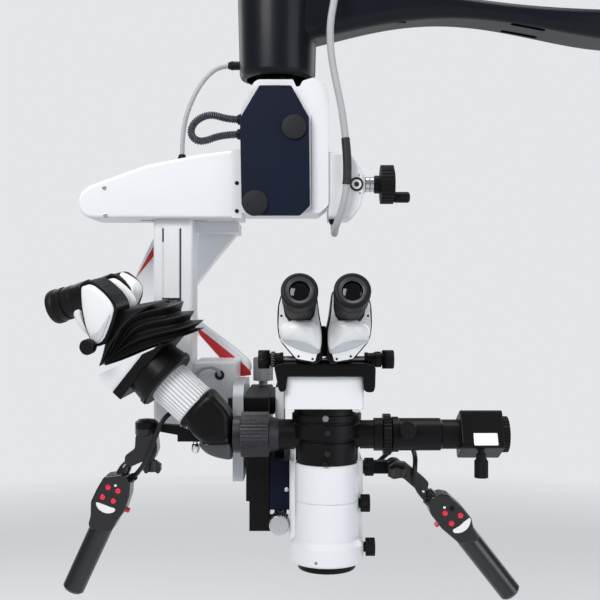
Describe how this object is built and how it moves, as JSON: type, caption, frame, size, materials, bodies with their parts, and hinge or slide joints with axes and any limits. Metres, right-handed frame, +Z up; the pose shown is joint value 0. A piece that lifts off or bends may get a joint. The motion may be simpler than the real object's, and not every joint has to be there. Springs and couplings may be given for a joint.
{
  "type": "surgical microscope",
  "caption": "Arm-mounted surgical microscope: swivelling head with balancing beam, tilting slides, zoom body, main and observer binoculars, camera tube and switch handles.",
  "frame": {"origin": "middle of the vertical pivot bore in the swing arm's root boss", "axes": "+Z up along that bore, +Y away from the main user's side, -X along the arm to the microscope head"},
  "size_m": [0.7989, 0.3522, 0.7984],
  "materials": {
    "arm_navy": "satin",
    "body_white": "satin",
    "plate_navy": "satin",
    "black_metal": "satin",
    "steel": "brushed",
    "plate_grey": "satin",
    "anodised_grey": "anodised",
    "black_plastic": "fine texture",
    "lens_glass": "polished",
    "bellows_rubber": "matte",
    "button_red": "gloss",
    "cable_black": "matte",
    "hose_grey": "matte"
  },
  "bodies": {
    "swing_arm": {"arm_casting": "arm_navy"},
    "head": {"head_spindle": "black_metal", "head_housing": "body_white", "front_plate": "plate_navy", "beam_rail": "steel", "beam_cover": "body_white", "beam_end": "body_white", "conduit_loop": "cable_black", "arm_hose": "hose_grey", "beam_cable": "hose_grey"},
    "beam_wheel": {"c_wheel": "anodised_grey"},
    "carriage": {"carriage_post": "body_white", "link_arm": "body_white", "tilt_block": "body_white"},
    "tilt_frame": {"tilt_plate": "plate_grey", "handle_bar_l": "black_metal"},
    "lift": {"slide_block": "black_metal"},
    "lift_knob": {"b_knob": "anodised_grey"},
    "optics": {"mount_plate": "plate_navy", "optics_body": "body_white", "objective_ring": "black_metal", "objective_lens": "lens_glass", "stack_rings": "black_metal", "bino_base": "body_white", "handle_arm_r": "black_metal"},
    "depth_knob": {"a_knob": "steel"},
    "light_knob": {"light_knob": "black_plastic"},
    "zoom_knob": {"zoom_knob": "black_plastic"},
    "focus_knob": {"focus_knob": "black_plastic"},
    "bino": {"bino_yoke": "black_metal"},
    "spacing_knobs": {"bino_knobs": "black_plastic"},
    "eye_l": {"prism_l": "black_metal"},
    "eye_r": {"prism_r": "black_metal"},
    "diopter_l": {"eyepiece_l": "black_plastic"},
    "diopter_r": {"eyepiece_r": "black_plastic"},
    "obs_tube": {"obs_ring": "anodised_grey", "obs_prism": "black_metal"},
    "obs_turret": {"obs_barrel": "body_white", "obs_adapter": "black_metal"},
    "obs_head": {"obs_bellows": "bellows_rubber"},
    "obs_eye_near": {"obs_near": "black_metal"},
    "obs_eye_far": {"obs_far": "black_metal"},
    "video": {"video_tube": "black_metal"},
    "video_lock": {"video_lock": "black_plastic"},
    "video_knob": {"video_knob": "anodised_grey"},
    "handle_l": {"grip_l": "black_plastic", "cable_l": "cable_black"},
    "wing_l": {"wing_l": "black_plastic"},
    "handle_r": {"grip_r": "black_plastic", "cable_r": "cable_black"},
    "wing_r": {"wing_r": "black_plastic"},
    "button_l1": {"button_l1": "button_red"},
    "button_l2": {"button_l2": "button_red"},
    "button_l3": {"button_l3": "button_red"},
    "button_l4": {"button_l4": "button_red"},
    "button_l5": {"button_l5": "button_red"},
    "button_r1": {"button_r1": "button_red"},
    "button_r2": {"button_r2": "button_red"},
    "button_r3": {"button_r3": "button_red"},
    "button_r4": {"button_r4": "button_red"}
  },
  "joints": [
    {"name": "head_swivel", "type": "hinge", "parent": "swing_arm", "child": "head", "pos_m": [-0.485, 0, -0.028], "axis": [0, 0, 1], "range_deg": [-150, 150], "deforming": ["arm_hose", "beam_cable"]},
    {"name": "beam_slide", "type": "slide", "parent": "head", "child": "carriage", "axis": [1, 0, 0], "range_m": [-0.035, 0.035]},
    {"name": "beam_wheel_turn", "type": "hinge", "parent": "head", "child": "beam_wheel", "pos_m": [-0.373, -0.002, -0.214], "axis": [1, 0, 0], "continuous": true},
    {"name": "tilt", "type": "hinge", "parent": "carriage", "child": "tilt_frame", "pos_m": [-0.539, 0.028, -0.5], "axis": [1, 0, 0], "range_deg": [-22, 4]},
    {"name": "lift_slide", "type": "slide", "parent": "tilt_frame", "child": "lift", "axis": [0, 0, 1], "range_m": [-0.02, 0.015]},
    {"name": "lift_knob_turn", "type": "hinge", "parent": "lift", "child": "lift_knob", "pos_m": [-0.507, 0.07, -0.4885], "axis": [0, 0, 1], "continuous": true},
    {"name": "depth_slide", "type": "slide", "parent": "lift", "child": "optics", "axis": [0, 1, 0], "range_m": [-0.04, 0.008]},
    {"name": "depth_knob_turn", "type": "hinge", "parent": "lift", "child": "depth_knob", "pos_m": [-0.4805, -0.09, -0.642], "axis": [0, 1, 0], "continuous": true},
    {"name": "light_knob_turn", "type": "hinge", "parent": "optics", "child": "light_knob", "pos_m": [-0.378, -0.096, -0.574], "axis": [1, 0, 0], "range_deg": [-135, 135]},
    {"name": "zoom_knob_turn", "type": "hinge", "parent": "optics", "child": "zoom_knob", "pos_m": [-0.385, -0.13, -0.6116], "axis": [1, 0, 0], "range_deg": [-135, 135]},
    {"name": "focus_knob_turn", "type": "hinge", "parent": "optics", "child": "focus_knob", "pos_m": [-0.379, -0.13, -0.664], "axis": [1, 0, 0], "range_deg": [-135, 135]},
    {"name": "bino_tilt", "type": "hinge", "parent": "optics", "child": "bino", "pos_m": [-0.427, -0.15, -0.466], "axis": [1, 0, 0], "range_deg": [-10, 14]},
    {"name": "spacing_turn", "type": "hinge", "parent": "bino", "child": "spacing_knobs", "pos_m": [-0.427, -0.15, -0.438], "axis": [1, 0, 0], "range_deg": [-200, 720]},
    {"name": "spacing_l", "type": "slide", "parent": "bino", "child": "eye_l", "axis": [-1, 0, 0], "range_m": [-0.001, 0.008]},
    {"name": "spacing_r", "type": "slide", "parent": "bino", "child": "eye_r", "axis": [1, 0, 0], "range_m": [-0.001, 0.008]},
    {"name": "diopter_l_turn", "type": "hinge", "parent": "eye_l", "child": "diopter_l", "pos_m": [-0.4555, -0.19, -0.37914], "axis": [0, -0.9397, 0.342], "range_deg": [-150, 150]},
    {"name": "diopter_r_turn", "type": "hinge", "parent": "eye_r", "child": "diopter_r", "pos_m": [-0.3985, -0.19, -0.37914], "axis": [0, -0.9397, 0.342], "range_deg": [-150, 150]},
    {"name": "obs_turn", "type": "hinge", "parent": "optics", "child": "obs_tube", "pos_m": [-0.48, -0.13, -0.529], "axis": [1, 0, 0], "range_deg": [-12, 12]},
    {"name": "obs_roll", "type": "hinge", "parent": "obs_tube", "child": "obs_turret", "pos_m": [-0.58078, -0.12426, -0.49646], "axis": [-0.7385, 0.1171, 0.6641], "range_deg": [-30, 30]},
    {"name": "obs_head_tilt", "type": "hinge", "parent": "obs_turret", "child": "obs_head", "pos_m": [-0.68659, -0.10546, -0.41414], "axis": [0.285, 0.9467, 0.15], "range_deg": [-12, 10], "deforming": ["obs_bellows"]},
    {"name": "obs_spacing_near", "type": "slide", "parent": "obs_head", "child": "obs_eye_near", "axis": [-0.285, -0.9467, -0.15], "range_m": [-0.0005, 0.005]},
    {"name": "obs_spacing_far", "type": "slide", "parent": "obs_head", "child": "obs_eye_far", "axis": [0.285, 0.9467, 0.15], "range_m": [-0.0005, 0.005]},
    {"name": "video_turn", "type": "hinge", "parent": "optics", "child": "video", "pos_m": [-0.3667, -0.13, -0.529], "axis": [1, 0, 0], "range_deg": [-60, 60]},
    {"name": "video_lock_turn", "type": "hinge", "parent": "video", "child": "video_lock", "pos_m": [-0.3287, -0.14848, -0.52309], "axis": [0, -0.9524, 0.3048], "range_deg": [-90, 180]},
    {"name": "video_knob_turn", "type": "hinge", "parent": "video", "child": "video_knob", "pos_m": [-0.2417, -0.152, -0.5465], "axis": [0, 0, 1], "range_deg": [-180, 180]},
    {"name": "handle_l_turn", "type": "hinge", "parent": "tilt_frame", "child": "handle_l", "pos_m": [-0.6464, -0.085, -0.528], "axis": [0, 0, 1], "range_deg": [-60, 45], "deforming": ["cable_l"]},
    {"name": "wing_l_turn", "type": "hinge", "parent": "handle_l", "child": "wing_l", "pos_m": [-0.639, -0.085, -0.5675], "axis": [0, 0, 1], "range_deg": [-120, 120]},
    {"name": "handle_r_turn", "type": "hinge", "parent": "optics", "child": "handle_r", "pos_m": [-0.337, -0.097, -0.578], "axis": [0, 1, 0], "range_deg": [-20, 30], "deforming": ["cable_r"]},
    {"name": "wing_r_turn", "type": "hinge", "parent": "handle_r", "child": "wing_r", "pos_m": [-0.337, -0.097, -0.578], "axis": [0, 1, 0], "range_deg": [-120, 120]},
    {"name": "press_l1", "type": "slide", "parent": "handle_l", "child": "button_l1", "axis": [0, 1, 0], "range_m": [0, 0.0015], "stiffness_N_per_m": 900},
    {"name": "press_l2", "type": "slide", "parent": "handle_l", "child": "button_l2", "axis": [0, 1, 0], "range_m": [0, 0.0015], "stiffness_N_per_m": 900},
    {"name": "press_l3", "type": "slide", "parent": "handle_l", "child": "button_l3", "axis": [0, 1, 0], "range_m": [0, 0.0015], "stiffness_N_per_m": 900},
    {"name": "press_l4", "type": "slide", "parent": "handle_l", "child": "button_l4", "axis": [0, 1, 0], "range_m": [0, 0.0015], "stiffness_N_per_m": 900},
    {"name": "press_l5", "type": "slide", "parent": "handle_l", "child": "button_l5", "axis": [-0.9292, 0, 0.3697], "range_m": [0, 0.0015], "stiffness_N_per_m": 900},
    {"name": "press_r1", "type": "slide", "parent": "handle_r", "child": "button_r1", "axis": [0, 1, 0], "range_m": [0, 0.0015], "stiffness_N_per_m": 900},
    {"name": "press_r2", "type": "slide", "parent": "handle_r", "child": "button_r2", "axis": [0, 1, 0], "range_m": [0, 0.0015], "stiffness_N_per_m": 900},
    {"name": "press_r3", "type": "slide", "parent": "handle_r", "child": "button_r3", "axis": [0, 1, 0], "range_m": [0, 0.0015], "stiffness_N_per_m": 900},
    {"name": "press_r4", "type": "slide", "parent": "handle_r", "child": "button_r4", "axis": [0.7507, 0, 0.6606], "range_m": [0, 0.0015], "stiffness_N_per_m": 900}
  ],
  "couplings": [
    {"joint": "beam_wheel_turn", "follows": "beam_slide", "rad_per_m": 1570.8},
    {"joint": "lift_knob_turn", "follows": "lift_slide", "rad_per_m": 1570.8},
    {"joint": "depth_knob_turn", "follows": "depth_slide", "rad_per_m": 1570.8},
    {"joint": "spacing_turn", "follows": "spacing_l", "rad_per_m": 1047.2},
    {"joint": "spacing_r", "follows": "spacing_l", "ratio": 1},
    {"joint": "obs_spacing_far", "follows": "obs_spacing_near", "ratio": 1}
  ]
}
